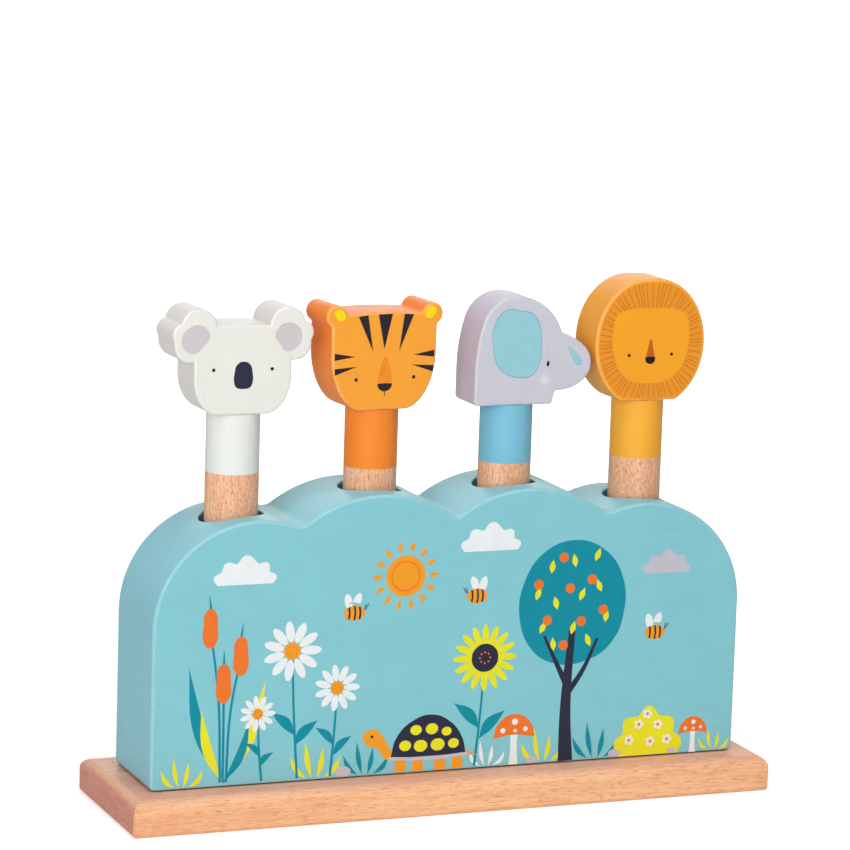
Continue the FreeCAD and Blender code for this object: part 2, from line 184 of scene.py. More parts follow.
class ToyEdgeSettings(bpy.types.PropertyGroup):
    """How far the edges are rounded over"""
    block_round: length_prop("Block", "Rounding of the block's front and back edges", 1.3)
    rim_round: length_prop("Hole rim", "Rounding of the rims of the peg holes", 0.6)
    head_round: length_prop("Heads", "Rounding of the edges of the heads", 1.0)
    foot_round: length_prop("Dowel foot", "Rounding of the dowels' feet", 1.2)
    rows: IntProperty(name="Rows", description="Rows of faces in one rounding", default=4, min=1)


class ToyPrintSettings(bpy.types.PropertyGroup):
    """The printed ink"""
    film: length_prop("Film", "Height of one layer of ink above the paint", 0.04)
    step: length_prop("Step", "How much higher each further layer lies", 0.015)


class ToySteelSettings(bpy.types.PropertyGroup):
    """Springs and screws"""
    wire: length_prop("Wire", "Thickness of the spring wire", 1.0)
    closed_turns: FloatProperty(name="Closed turns", description="Turns that lie closed at each end",
                                default=1.0, min=0)
    open_turns: FloatProperty(name="Open turns", description="Turns that work", default=4.5, min=1)
    thread_lead: length_prop("Thread lead", "Rise of the screw thread in one turn", 1.8)
    colour: colour_prop("Steel", "Colour of the bright steel", 196, 198, 202)


class ToyStageSettings(bpy.types.PropertyGroup):
    """Floor, lamps and camera"""
    camera: FloatVectorProperty(name="Camera", description="Where the camera stands", unit="LENGTH",
                                size=3, default=(-0.54032, -1.32365, 0.39112))
    target: FloatVectorProperty(name="Target", description="Point that the camera looks at",
                                unit="LENGTH", size=3, default=(-0.005604, 0, 0.142129))
    roll: FloatProperty(name="Roll", description="Turn of the camera about its own axis",
                        subtype="ANGLE", default=math.radians(1.827))
    focal_length: FloatProperty(name="Focal length", description="In millimetres, on a 36 mm sensor",
                                default=163.56)
    front: FloatProperty(name="Front lamp", description="Watts of the lamp low at the front", default=8.2)
    left: FloatProperty(name="Left lamp", description="Watts of the lamp at the left", default=10.5)
    over: FloatProperty(name="Overhead lamp", description="Watts of the lamp above", default=12.0)
    back: FloatProperty(name="Back lamp", description="Watts of the lamp behind the toy", default=5.0)
    sky: FloatProperty(name="Sky", description="Strength of the even light all round", default=0.2)
    floor: colour_prop("Floor", "Colour of the floor", 245, 245, 245)


SETTINGS = {
    "toy_wood": ToyWoodSettings,
    "toy_paint": ToyPaintSettings,
    "toy_ink": ToyInkSettings,
    "toy_edge": ToyEdgeSettings,
    "toy_print": ToyPrintSettings,
    "toy_steel": ToySteelSettings,
    "toy_stage": ToyStageSettings,
}


# ------------------------------------------------------------------ material nodes
def new_shader(name):
    material = bpy.data.materials.new(name)
    material.use_nodes = True
    tree = material.node_tree
    tree.nodes.clear()
    output = tree.nodes.new("ShaderNodeOutputMaterial")
    shader = tree.nodes.new("ShaderNodeBsdfPrincipled")
    tree.links.new(shader.outputs["BSDF"], output.inputs["Surface"])
    return material, tree, shader


def put(tree, kind, sockets, **settings):
    """Adds a node. A socket's value is a number, a colour or the output that feeds it."""
    node = tree.nodes.new("ShaderNode" + kind)
    for key, value in settings.items():
        setattr(node, key, value)
    for key, value in sockets.items():
        if isinstance(value, bpy.types.NodeSocket):
            tree.links.new(value, node.inputs[key])
        else:
            node.inputs[key].default_value = value
    return node


def blend(tree, factor, first, second):
    """Mixes two colours."""
    first, second = [(*c, 1) if isinstance(c, tuple) else c for c in (first, second)]
    return put(tree, "Mix", {0: factor, 6: first, 7: second}, data_type="RGBA").outputs[2]


def work_out(tree, operation, first, second=0.0):
    return put(tree, "Math", {0: first, 1: second}, operation=operation).outputs[0]


def spread(tree, value, low, high, to_low=0.0, to_high=1.0):
    """Stretches the part of a value between low and high over a new range."""
    sockets = {"Value": value, "From Min": low, "From Max": high, "To Min": to_low, "To Max": to_high}
    return put(tree, "MapRange", sockets).outputs["Result"]


def object_place(tree):
    """Where a point lies on its piece, before any joint moves it."""
    return tree.nodes.new("ShaderNodeTexCoord").outputs["Object"]


def facing(tree):
    """X, Y and Z of the way that the surface looks."""
    return put(tree, "SeparateXYZ", {0: tree.nodes.new("ShaderNodeTexCoord").outputs["Normal"]}).outputs


def stretched(tree, along, share, place=None):
    """Coordinates in which patterns are drawn out along the grain."""
    scale = [1.0, 1.0, 1.0]
    scale["XYZ".index(along)] = share
    place = place or object_place(tree)
    return put(tree, "Mapping", {"Vector": place, "Scale": scale}).outputs["Vector"]


def noise(tree, place, size, detail=2.0):
    """Noise with features of about this size, in metres."""
    sockets = {"Vector": place, "Scale": 1 / size, "Detail": detail}
    return put(tree, "TexNoise", sockets).outputs["Fac"]


def retoned(tree, pattern, plain, other):
    """A pattern made for one plain colour, shifted to another."""
    tint = tuple(wanted / given for wanted, given in zip(other, plain))
    return put(tree, "VectorMath", {0: pattern, 1: tint}, operation="MULTIPLY").outputs[0]


def raise_surface(tree, shader, height, distance):
    bump = put(tree, "Bump", {"Height": height, "Distance": distance, "Strength": 1.0})
    tree.links.new(bump.outputs["Normal"], shader.inputs["Normal"])


# ------------------------------------------------------------------ wood, paint, ink, steel
def beech(tree, along, tone, wood, fleck_length, figure):
    """Colour and height of lacquered beech. The grain runs along one axis, in fine broken streaks."""
    drift_size, drift_reach = 14 * MM, 2 * MM
    band_size, streak_size, pore_size = 4 * MM, 0.6 * MM, 0.3 * MM
    place = object_place(tree)
    drift = put(tree, "TexNoise", {"Vector": place, "Scale": 1 / drift_size, "Detail": 2.0}).outputs["Color"]
    drift = put(tree, "VectorMath", {0: drift, 1: (drift_reach,) * 3}, operation="MULTIPLY").outputs[0]
    place = put(tree, "VectorMath", {0: place, 1: drift}, operation="ADD").outputs[0]
    bands = noise(tree, stretched(tree, along, 0.05, place), band_size)
    streaks = noise(tree, stretched(tree, along, 0.025, place), streak_size, 3.0)
    pores = noise(tree, stretched(tree, along, 0.05, place), pore_size)
    drawn_out = wood.fleck_spacing / fleck_length
    scarce = 0.64 - 0.12 * figure
    flecks = spread(tree, noise(tree, stretched(tree, along, drawn_out, place), wood.fleck_spacing, 1.0),
                    scarce, scarce + 0.10)
    pale = tuple(min(1.0, 1.18 * channel) for channel in tone)
    colour = blend(tree, spread(tree, bands, 0.35, 0.68, 0.0, 0.45), tone, tuple(wood.streak))
    colour = blend(tree, spread(tree, streaks, 0.44, 0.64, 0.0, 0.6), colour, tuple(wood.streak))
    colour = blend(tree, spread(tree, pores, 0.48, 0.68, 0.0, 0.6), colour, pale)
    flecks = work_out(tree, "MULTIPLY", flecks, 0.45 + 0.2 * figure)
    colour = blend(tree, flecks, colour, tuple(wood.fleck))
    return colour, work_out(tree, "SUBTRACT", pores, work_out(tree, "MULTIPLY", flecks, 0.5))


def lacquer(shader):
    shader.inputs["Roughness"].default_value = 0.46
    shader.inputs["Specular IOR Level"].default_value = 0.32


def board_material(wood):
    """Long grain along the board, a painted reflection that makes the upper face pinker, and sawn ends."""
    ring_size, end_pore_size, relief = 1.2 * MM, 0.45 * MM, 0.03 * MM
    material, tree, shader = new_shader("beech_board")
    normal = facing(tree)
    colour, height = beech(tree, "X", tuple(wood.board), wood, wood.board_fleck, wood.board_figure)
    # Painted reflection: faces that look up are retoned pinker.
    painted_reflection_on_top = spread(tree, normal["Z"], 0.5, 1.0)
    colour = blend(tree, painted_reflection_on_top, colour, retoned(tree, colour, wood.board, wood.board_top_reflection))
    rings = noise(tree, stretched(tree, "Y", 0.15), ring_size, 3.0)
    pores = noise(tree, stretched(tree, "Z", 0.35), end_pore_size, 1.0)
    sawn = blend(tree, spread(tree, rings, 0.40, 0.62, 0.0, 0.4), tuple(wood.end_grain), tuple(wood.fleck))
    sawn = blend(tree, spread(tree, pores, 0.50, 0.64, 0.0, 0.6), sawn, tuple(wood.fleck))
    at_end = spread(tree, work_out(tree, "ABSOLUTE", normal["X"]), 0.6, 0.9)
    tree.links.new(blend(tree, at_end, colour, sawn), shader.inputs["Base Color"])
    raise_surface(tree, shader, height, relief)
    lacquer(shader)
    return material


def coat_of_paint(tree, colour, along):
    """Colour and height of sprayed paint that lets the grain below show faintly."""
    grain_size, cloud_size, peel_size = 0.7 * MM, 14 * MM, 0.45 * MM
    grain = noise(tree, stretched(tree, along, 0.05), grain_size, 3.0)
    cloud = noise(tree, object_place(tree), cloud_size)
    orange_peel = noise(tree, object_place(tree), peel_size)
    darker = tuple(0.91 * channel for channel in colour)
    lighter = tuple(min(1.0, 1.07 * channel) for channel in colour)
    painted = blend(tree, spread(tree, grain, 0.40, 0.75, 0.0, 0.5), colour, darker)
    painted = blend(tree, spread(tree, cloud, 0.35, 0.65, 0.0, 0.4), painted, lighter)
    painted = blend(tree, spread(tree, orange_peel, 0.45, 0.75, 0.0, 0.4), painted, lighter)
    height = work_out(tree, "ADD", grain, work_out(tree, "MULTIPLY", orange_peel, 0.5))
    return painted, height


def satin(tree, shader):
    gloss_size = 5 * MM
    gloss = noise(tree, object_place(tree), gloss_size)
    tree.links.new(spread(tree, gloss, 0.3, 0.7, 0.40, 0.50), shader.inputs["Roughness"])
    shader.inputs["Specular IOR Level"].default_value = 0.3


def paint_material(name, colour, side, along="Z", blush=None, joint=None):
    """Satin paint, with a painted tone of light on the sides and paler along rounded edges, part wear and
    part painted highlight.

    A soft round blush and a painted shadow line at a joint are added where they are given.
    """
    wear_size, joint_shadow_line, joint_shadow_fade, relief = 3 * MM, 0.4 * MM, 0.8 * MM, 0.02 * MM
    material, tree, shader = new_shader(name)
    painted, height = coat_of_paint(tree, tuple(colour), along)
    place = object_place(tree)
    # Painted light by facing: faces that do not look to the front or back take the side tone, painted shade
    # on the heads and painted reflection on the block.
    side_light_mask = spread(tree, work_out(tree, "ABSOLUTE", facing(tree)["Y"]), 0.4, 0.8, 1.0, 0.0)
    painted = blend(tree, side_light_mask, painted, retoned(tree, painted, colour, side))
    # Paler along rounded edges: part wear, part painted highlight.
    ease = put(tree, "Attribute", {}, attribute_name="ease").outputs["Fac"]
    pale = tuple(channel + 0.12 * (1 - channel) for channel in colour)
    wear = noise(tree, place, wear_size, 3.0)
    worn_and_highlit = work_out(tree, "MULTIPLY", ease, spread(tree, wear, 0.3, 0.6, 0.35, 1.0))
    painted = blend(tree, worn_and_highlit, painted, pale)
    if blush:
        centre, radius, blush_colour = blush
        away = put(tree, "VectorMath", {0: place, 1: centre}, operation="DISTANCE").outputs["Value"]
        soft = put(tree, "MapRange", {"Value": away, "From Min": 0.2 * radius, "From Max": radius,
                                      "To Min": 0.85, "To Max": 0.0}, interpolation_type="SMOOTHSTEP")
        painted = blend(tree, soft.outputs["Result"], painted, tuple(blush_colour))
    # Painted shadow: darkens the paint just above the given level.
    if joint:
        level, joint_shadow_colour = joint
        height_above = put(tree, "SeparateXYZ", {0: place}).outputs["Z"]
        painted_joint_shadow = spread(tree, height_above, level + joint_shadow_line, level + joint_shadow_fade, 0.9, 0.0)
        painted = blend(tree, painted_joint_shadow, painted, tuple(joint_shadow_colour))
    tree.links.new(painted, shader.inputs["Base Color"])
    raise_surface(tree, shader, height, relief)
    satin(tree, shader)
    return material


def dowel_material(animal, wood, paint):
    """Beech with a painted band under the head, its lower edge crisp but not quite even."""
    waver_size, waver_reach, border_fade, relief = 2 * MM, 0.3 * MM, 0.2 * MM, 0.025 * MM
    material, tree, shader = new_shader("dowel_" + animal)
    bare, bare_height = beech(tree, "Z", tuple(wood.dowel), wood, wood.dowel_fleck, wood.dowel_figure)
    painted, painted_height = coat_of_paint(tree, tuple(getattr(paint, animal + "_neck")), "Z")
    place = object_place(tree)
    level = put(tree, "SeparateXYZ", {0: place}).outputs["Z"]
    waver = work_out(tree, "MULTIPLY", noise(tree, place, waver_size), waver_reach)
    level = work_out(tree, "ADD", level, waver)
    border = CHIN_Z - paint.neck_length
    covered = spread(tree, level, border, border + border_fade)
    tree.links.new(blend(tree, covered, bare, painted), shader.inputs["Base Color"])
    height = put(tree, "Mix", {0: covered, 2: bare_height, 3: painted_height}).outputs[0]
    raise_surface(tree, shader, height, relief)
    lacquer(shader)
    return material


def ink_material(ink_name, colour):
    """Ink with a slightly uneven density, as pad printing leaves it."""
    speckle_size, cloud_size = 0.3 * MM, 5 * MM
    material, tree, shader = new_shader("ink_" + ink_name)
    place = object_place(tree)
    speckle = noise(tree, place, speckle_size, 3.0)
    cloud = noise(tree, place, cloud_size)
    thin = tuple(min(1.0, 1.15 * channel + 0.004) for channel in colour)
    inked = blend(tree, spread(tree, speckle, 0.45, 0.8, 0.0, 0.5), colour, thin)
    inked = blend(tree, spread(tree, cloud, 0.35, 0.7, 0.0, 0.3), inked, thin)
    tree.links.new(inked, shader.inputs["Base Color"])
    tree.links.new(spread(tree, speckle, 0.3, 0.7, 0.45, 0.6), shader.inputs["Roughness"])
    shader.inputs["Specular IOR Level"].default_value = 0.22
    return material


def steel_material(name, colour):
    drawn_size = 0.4 * MM
    material, tree, shader = new_shader(name)
    drawn = noise(tree, object_place(tree), drawn_size, 3.0)
    dull = tuple(0.72 * channel for channel in colour)
    tree.links.new(blend(tree, spread(tree, drawn, 0.3, 0.7), tuple(colour), dull),
                   shader.inputs["Base Color"])
    tree.links.new(spread(tree, drawn, 0.3, 0.7, 0.28, 0.42), shader.inputs["Roughness"])
    shader.inputs["Metallic"].default_value = 1.0
    return material


# ------------------------------------------------------------------ shaping
def add_object(name, data):
    item = bpy.data.objects.new(name, data)
    bpy.context.scene.collection.objects.link(item)
    return item


def as_mesh(name, bm):
    """Turns a modelled shape into a mesh, and uses it up."""
    mesh = bpy.data.meshes.new(name)
    bm.to_mesh(mesh)
    bm.free()
    return mesh


def finish_piece(name, bm, materials, body, replaced=()):
    """Makes the object of a modelled piece, shades it and ties it to its body."""
    bmesh.ops.recalc_face_normals(bm, faces=bm.faces[:])
    mesh = as_mesh(name, bm)
    for material in materials:
        mesh.materials.append(material)
    mesh.shade_smooth()
    mesh.set_sharp_from_angle(angle=SHARP_ANGLE)
    piece = add_object(name, mesh)
    weigh = piece.modifiers.new("Even shading", "WEIGHTED_NORMAL")
    weigh.keep_sharp = True
    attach(piece, body)
    if replaced:
        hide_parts(*replaced)
    return piece


def carve(bm, cutter):
    """Cuts one closed shape out of another. Both are used up; the rest comes back."""
    carved, tool = [add_object(label, as_mesh(label, shape)) for label, shape in
                    (("carved", bm), ("cutter", cutter))]
    cut = carved.modifiers.new("Cut", "BOOLEAN")
    cut.operation = "DIFFERENCE"
    cut.solver = "EXACT"
    cut.object = tool
    bpy.context.view_layer.update()
    seen = carved.evaluated_get(bpy.context.evaluated_depsgraph_get())
    result = bmesh.new()
    result.from_mesh(seen.to_mesh())
    for item in (carved, tool):
        mesh = item.data
        bpy.data.objects.remove(item)
        bpy.data.meshes.remove(mesh)
    return result


def add_rod(bm, radius, low, high, centre_x, segments=ROUND_SEGMENTS):
    """An upright round rod between two heights."""
    place = Matrix.Translation((centre_x, 0, (low + high) / 2))
    bmesh.ops.create_cone(bm, cap_ends=True, segments=segments, radius1=radius, radius2=radius,
                          depth=high - low, matrix=place)


def bore_for_pin(bm, animal, mouth):
    """Bores the hole for the hidden pin into the face at this height."""
    bore = bmesh.new()
    add_rod(bore, PIN_HOLE_RADIUS, mouth - PIN_HOLE_DEPTH, mouth + PIN_HOLE_DEPTH, peg_x(animal),
            PIN_HOLE_SEGMENTS)
    return carve(bm, bore)


def all_verts(geometry):
    return [item for item in geometry if isinstance(item, bmesh.types.BMVert)]


def round_edges(bm, edges, radius, rows):
    """Rounds edges over, and marks each new vertex that lies wholly within the rounding."""
    mark = bm.verts.layers.float.get("ease") or bm.verts.layers.float.new("ease")
    made = bmesh.ops.bevel(bm, geom=edges, offset=radius, affect="EDGES", segments=rows,
                           profile=0.5, material=-1, clamp_overlap=False)
    rounded = set(made["faces"])
    for vertex in made["verts"]:
        if rounded.issuperset(vertex.link_faces):
            vertex[mark] = 1.0


def outline_plate(node, cut_y, turn, centre_x, depth):
    """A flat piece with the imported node's outline, taken where that node is straight through."""
    bm = bmesh.new()
    bm.from_mesh(frame["nodes"][node].data)
    bmesh.ops.remove_doubles(bm, verts=bm.verts[:], dist=WELD)
    bmesh.ops.rotate(bm, verts=bm.verts[:], cent=(centre_x, 0, 0), matrix=Matrix.Rotation(-turn, 3, "Z"))
    everything = bm.verts[:] + bm.edges[:] + bm.faces[:]
    bmesh.ops.bisect_plane(bm, geom=everything, plane_co=(0, cut_y, 0), plane_no=(0, 1, 0),
                           clear_inner=True, clear_outer=True)
    bmesh.ops.contextual_create(bm, geom=bm.edges[:])
    bmesh.ops.dissolve_limit(bm, angle_limit=math.radians(1.0), verts=bm.verts[:], edges=bm.edges[:])
    bmesh.ops.translate(bm, verts=bm.verts[:], vec=(0, -depth / 2 - cut_y, 0))
    pushed = bmesh.ops.extrude_face_region(bm, geom=bm.faces[:])["geom"]
    bmesh.ops.translate(bm, verts=all_verts(pushed), vec=(0, depth, 0))
    bmesh.ops.recalc_face_normals(bm, faces=bm.faces[:])
    return bm


def rim_edges(bm, depth):
    """The edges of a flat piece's front and back faces."""
    return [edge for edge in bm.edges
            if all(abs(abs(vertex.co.y) - depth / 2) < WELD for vertex in edge.verts)
            and edge.verts[0].co.y * edge.verts[1].co.y > 0]


# ------------------------------------------------------------------ board and block
class TOY_OT_board(bpy.types.Operator):
    """Give the board its lacquered beech, with sawn ends"""
    bl_idname = "toy.board"
    bl_label = "Board"

    def execute(self, context):
        board = frame["nodes"]["base_board"]
        board.material_slots[0].material = board_material(context.scene.toy_wood)
        return {"FINISHED"}


class TOY_OT_block(bpy.types.Operator):
    """Build the painted block, round its edges and bore the peg holes"""
    bl_idname = "toy.block"
    bl_label = "Block"

    def execute(self, context):
        edge = context.scene.toy_edge
        paint = context.scene.toy_paint
        depth = BLOCK_HIGH.y - BLOCK_LOW.y
        beside_holes = 0.42 * depth
        bm = outline_plate("hole_block", beside_holes, 0.0, 0.0, depth)
        holes = bmesh.new()
        for animal in ANIMALS:
            add_rod(holes, PEG_HOLE_RADIUS, 0.0, 2 * BLOCK_HIGH.z, peg_x(animal))
        bm = carve(bm, holes)
        round_edges(bm, rim_edges(bm, depth), edge.block_round, edge.rows)
        mouths = [item for item in bm.edges if self.at_mouth(item)]
        round_edges(bm, mouths, edge.rim_round, RIM_ROWS)
        for face in bm.faces:
            face.material_index = int(self.on_bore(face.verts))
        # The block's side tone is painted reflection.
        materials = [paint_material("paint_block", paint.block, paint.block_side, "X",
                                    # Painted shadow along the block's foot.
                                    joint=(BLOCK_LOW.z, paint.joint)),
                     # Painted shade on the walls of the peg holes.
                     paint_material("paint_bore", paint.bore, paint.bore)]
        finish_piece("block", bm, materials, "base", ["hole_block"])
        return {"FINISHED"}

    @staticmethod
    def on_bore(verts):
        """Whether all of these lie on the wall of one peg hole."""
        near = 0.02 * MM
        for animal in ANIMALS:
            middle = Vector((peg_x(animal), 0))
            if all(abs((vertex.co.xy - middle).length - PEG_HOLE_RADIUS) < near for vertex in verts):
                return True
        return False

    @classmethod
    def at_mouth(cls, edge):
        """Whether an edge runs round the upper mouth of a peg hole."""
        if edge.verts[0].co.z < 0.5 * BLOCK_HIGH.z or len(edge.link_faces) != 2:
            return False
        upright = [abs(face.normal.z) < 0.1 for face in edge.link_faces]
        return upright[0] != upright[1] and cls.on_bore(edge.verts)


# ------------------------------------------------------------------ stage
def aim(item, target, roll=0.0):
    heading = (Vector(target) - item.location).to_track_quat("-Z", "Y")
    item.rotation_mode = "QUATERNION"
    item.rotation_quaternion = heading @ Quaternion((0, 0, 1), roll)


def add_softbox(name, place, power):
    """A square soft lamp that looks at the middle of the toy."""
    lamp = bpy.data.lights.new(name, "AREA")
    lamp.size = LAMP_SIZE
    lamp.energy = power
    item = add_object(name, lamp)
    item.location = place
    aim(item, TOY_MIDDLE)


class TOY_OT_stage(bpy.types.Operator):
    """Set the floor, the lamps, the sky and the camera"""
    bl_idname = "toy.stage"
    bl_label = "Stage"

    def execute(self, context):
        stage = context.scene.toy_stage
        self.make_camera(context, stage)
        for name, place in LAMP_PLACES.items():
            add_softbox(name + "_lamp", place, getattr(stage, name))
        self.make_sky(context, stage)
        self.make_floor(stage)
        context.scene.view_settings.view_transform = "Standard"
        return {"FINISHED"}

    @staticmethod
    def make_camera(context, stage):
        data = bpy.data.cameras.new("camera")
        data.sensor_width = 36
        data.lens = stage.focal_length
        data.clip_start = 0.05
        camera = add_object("camera", data)
        camera.location = stage.camera
        aim(camera, stage.target, stage.roll)
        context.scene.camera = camera

    @staticmethod
    def make_sky(context, stage):
        """Even white light, and plain white wherever the sky itself is seen."""
        world = bpy.data.worlds.new("sky")
        world.use_nodes = True
        tree = world.node_tree
        background = tree.nodes["Background"]
        background.inputs["Color"].default_value = (1, 1, 1, 1)
        ray = tree.nodes.new("ShaderNodeLightPath").outputs
        seen = work_out(tree, "MAXIMUM", ray["Is Camera Ray"], ray["Is Transmission Ray"])
        seen = work_out(tree, "MAXIMUM", seen, ray["Is Glossy Ray"])
        tree.links.new(spread(tree, seen, 0.0, 1.0, stage.sky, 1.0), background.inputs["Strength"])
        context.scene.world = world

    @staticmethod
    def make_floor(stage):
        """A wide pale floor that keeps the toy's soft shadow and glows white beyond it."""
        glow_start, glow_full = 0.14, 0.9
        bm = bmesh.new()
        bmesh.ops.create_grid(bm, x_segments=1, y_segments=1, size=FLOOR_REACH)
        mesh = as_mesh("floor", bm)
        material, tree, shader = new_shader("pale_floor")
        shader.inputs["Base Color"].default_value = (*stage.floor, 1)
        shader.inputs["Roughness"].default_value = 0.9
        shader.inputs["Specular IOR Level"].default_value = 0.0
        shader.inputs["Emission Color"].default_value = (1, 1, 1, 1)
        away = put(tree, "VectorMath", {0: object_place(tree)}, operation="LENGTH").outputs["Value"]
        seen = tree.nodes.new("ShaderNodeLightPath").outputs["Is Camera Ray"]
        glow = work_out(tree, "MULTIPLY", seen, spread(tree, away, glow_start, glow_full, 0.45, 1.0))
        tree.links.new(glow, shader.inputs["Emission Strength"])
        mesh.materials.append(material)
        add_object("floor", mesh)


# ------------------------------------------------------------------ dowels, heads, pins
def head_turn(animal):
    """How far a head is turned about its peg, from the way its broad face looks."""
    way = Vector((0, 0, 0))
    for face in frame["nodes"][animal + "_head"].data.polygons:
        if face.normal.y < -0.95:
            way += face.normal * face.area
    return math.atan2(way.x, -way.y)


class TOY_OT_dowels(bpy.types.Operator):
    """Turn the four dowels, with a rounded foot, a pin bore and a painted neck"""
    bl_idname = "toy.dowels"
    bl_label = "Dowels"

    def execute(self, context):
        for animal in ANIMALS:
            self.make_dowel(context, animal)
        return {"FINISHED"}

    @staticmethod
    def make_dowel(context, animal):
        low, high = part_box(animal + "_dowel")
        bm = bmesh.new()
        add_rod(bm, (high.x - low.x) / 2, low.z, high.z, peg_x(animal))
        bm = bore_for_pin(bm, animal, high.z)
        foot = [edge for edge in bm.edges if all(vertex.co.z < low.z + WELD for vertex in edge.verts)]
        round_edges(bm, foot, context.scene.toy_edge.foot_round, context.scene.toy_edge.rows)
        material = dowel_material(animal, context.scene.toy_wood, context.scene.toy_paint)
        finish_piece("dowel_" + animal, bm, [material], animal + "_peg", [animal + "_dowel"])


class TOY_OT_heads(bpy.types.Operator):
    """Cut the four heads to their outlines, round their edges and paint them"""
    bl_idname = "toy.heads"
    bl_label = "Heads"

    def execute(self, context):
        for animal in ANIMALS:
            self.make_head(context, animal)
        return {"FINISHED"}

    @staticmethod
    def make_head(context, animal):
        edge = context.scene.toy_edge
        paint = context.scene.toy_paint
        turn = head_turn(animal)
        beside_pin = 0.3 * HEAD_THICKNESS
        bm = outline_plate(animal + "_head", beside_pin, turn, peg_x(animal), HEAD_THICKNESS)
        bm = bore_for_pin(bm, animal, CHIN_Z)
        round_edges(bm, rim_edges(bm, HEAD_THICKNESS), edge.head_round, edge.rows)
        bmesh.ops.rotate(bm, verts=bm.verts[:], cent=(peg_x(animal), 0, 0),
                         matrix=Matrix.Rotation(turn, 3, "Z"))
        blush = None
        if animal == "elephant":
            right, up, radius = 11.1 * MM, 9.4 * MM, 2.9 * MM
            cheek = (peg_x(animal) + right, -HEAD_THICKNESS / 2, CHIN_Z + up)
            blush = (cheek, radius, context.scene.toy_ink.blush)
        # The side tone of each head is painted shade.
        material = paint_material("paint_" + animal, getattr(paint, animal),
                                  getattr(paint, animal + "_side"), blush=blush)
        finish_piece("head_" + animal, bm, [material], animal + "_peg",
                     [animal + "_head"])


class TOY_OT_pins(bpy.types.Operator):
    """Give the hidden pins plain hardwood"""
    bl_idname = "toy.pins"
    bl_label = "Pins"

    def execute(self, context):
        relief = 0.03 * MM
        wood = context.scene.toy_wood
        material, tree, shader = new_shader("pin_wood")
        colour, height = beech(tree, "Z", tuple(wood.dowel), wood, wood.dowel_fleck, wood.dowel_figure)
        tree.links.new(colour, shader.inputs["Base Color"])
        raise_surface(tree, shader, height, relief)
        for animal in ANIMALS:
            frame["nodes"][animal + "_pin"].material_slots[0].material = material
        return {"FINISHED"}


# ------------------------------------------------------------------ springs and screws
class TOY_OT_springs(bpy.types.Operator):
    """Coil the four springs with closed ends"""
    bl_idname = "toy.springs"
    bl_label = "Springs"

    def execute(self, context):
        steel = context.scene.toy_steel
        material = steel_material("spring_steel", steel.colour)
        for animal in ANIMALS:
            self.make_spring(animal, steel, material)
        return {"FINISHED"}

    @staticmethod
    def make_spring(animal, steel, material):
        low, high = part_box(animal + "_spring")
        coil_radius = (high.x - low.x - steel.wire) / 2
        closed_lead = 1.06 * steel.wire
        free_rise = high.z - low.z - steel.wire - 2 * steel.closed_turns * closed_lead
        open_lead = free_rise / steel.open_turns
        bm = bmesh.new()
        upright = Matrix.Rotation(math.pi / 2, 4, "X")
        start = Matrix.Translation((peg_x(animal) + coil_radius, 0, low.z + steel.wire / 2))
        bmesh.ops.create_circle(bm, segments=12, radius=steel.wire / 2, matrix=start @ upright)
        section = bm.edges[:]
        eased = 0.2  # share of a turn over which the coils open up
        runs = ((steel.closed_turns - eased / 2, closed_lead), (eased, (closed_lead + open_lead) / 2),
                (steel.open_turns - eased, open_lead), (eased, (closed_lead + open_lead) / 2),
                (steel.closed_turns - eased / 2, closed_lead))
        for turns, lead in runs:
            steps = max(2, round(32 * turns))
            made = bmesh.ops.spin(bm, geom=section, cent=(peg_x(animal), 0, 0), axis=(0, 0, 1),
                                  dvec=(0, 0, lead * turns / steps), angle=2 * math.pi * turns,
                                  steps=steps)
            section = [item for item in made["geom_last"] if isinstance(item, bmesh.types.BMEdge)]
        bmesh.ops.holes_fill(bm, edges=bm.edges[:])
        spring = finish_piece("spring_" + animal, bm, [material], "base",
                              [animal + "_spring"])
        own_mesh(spring)


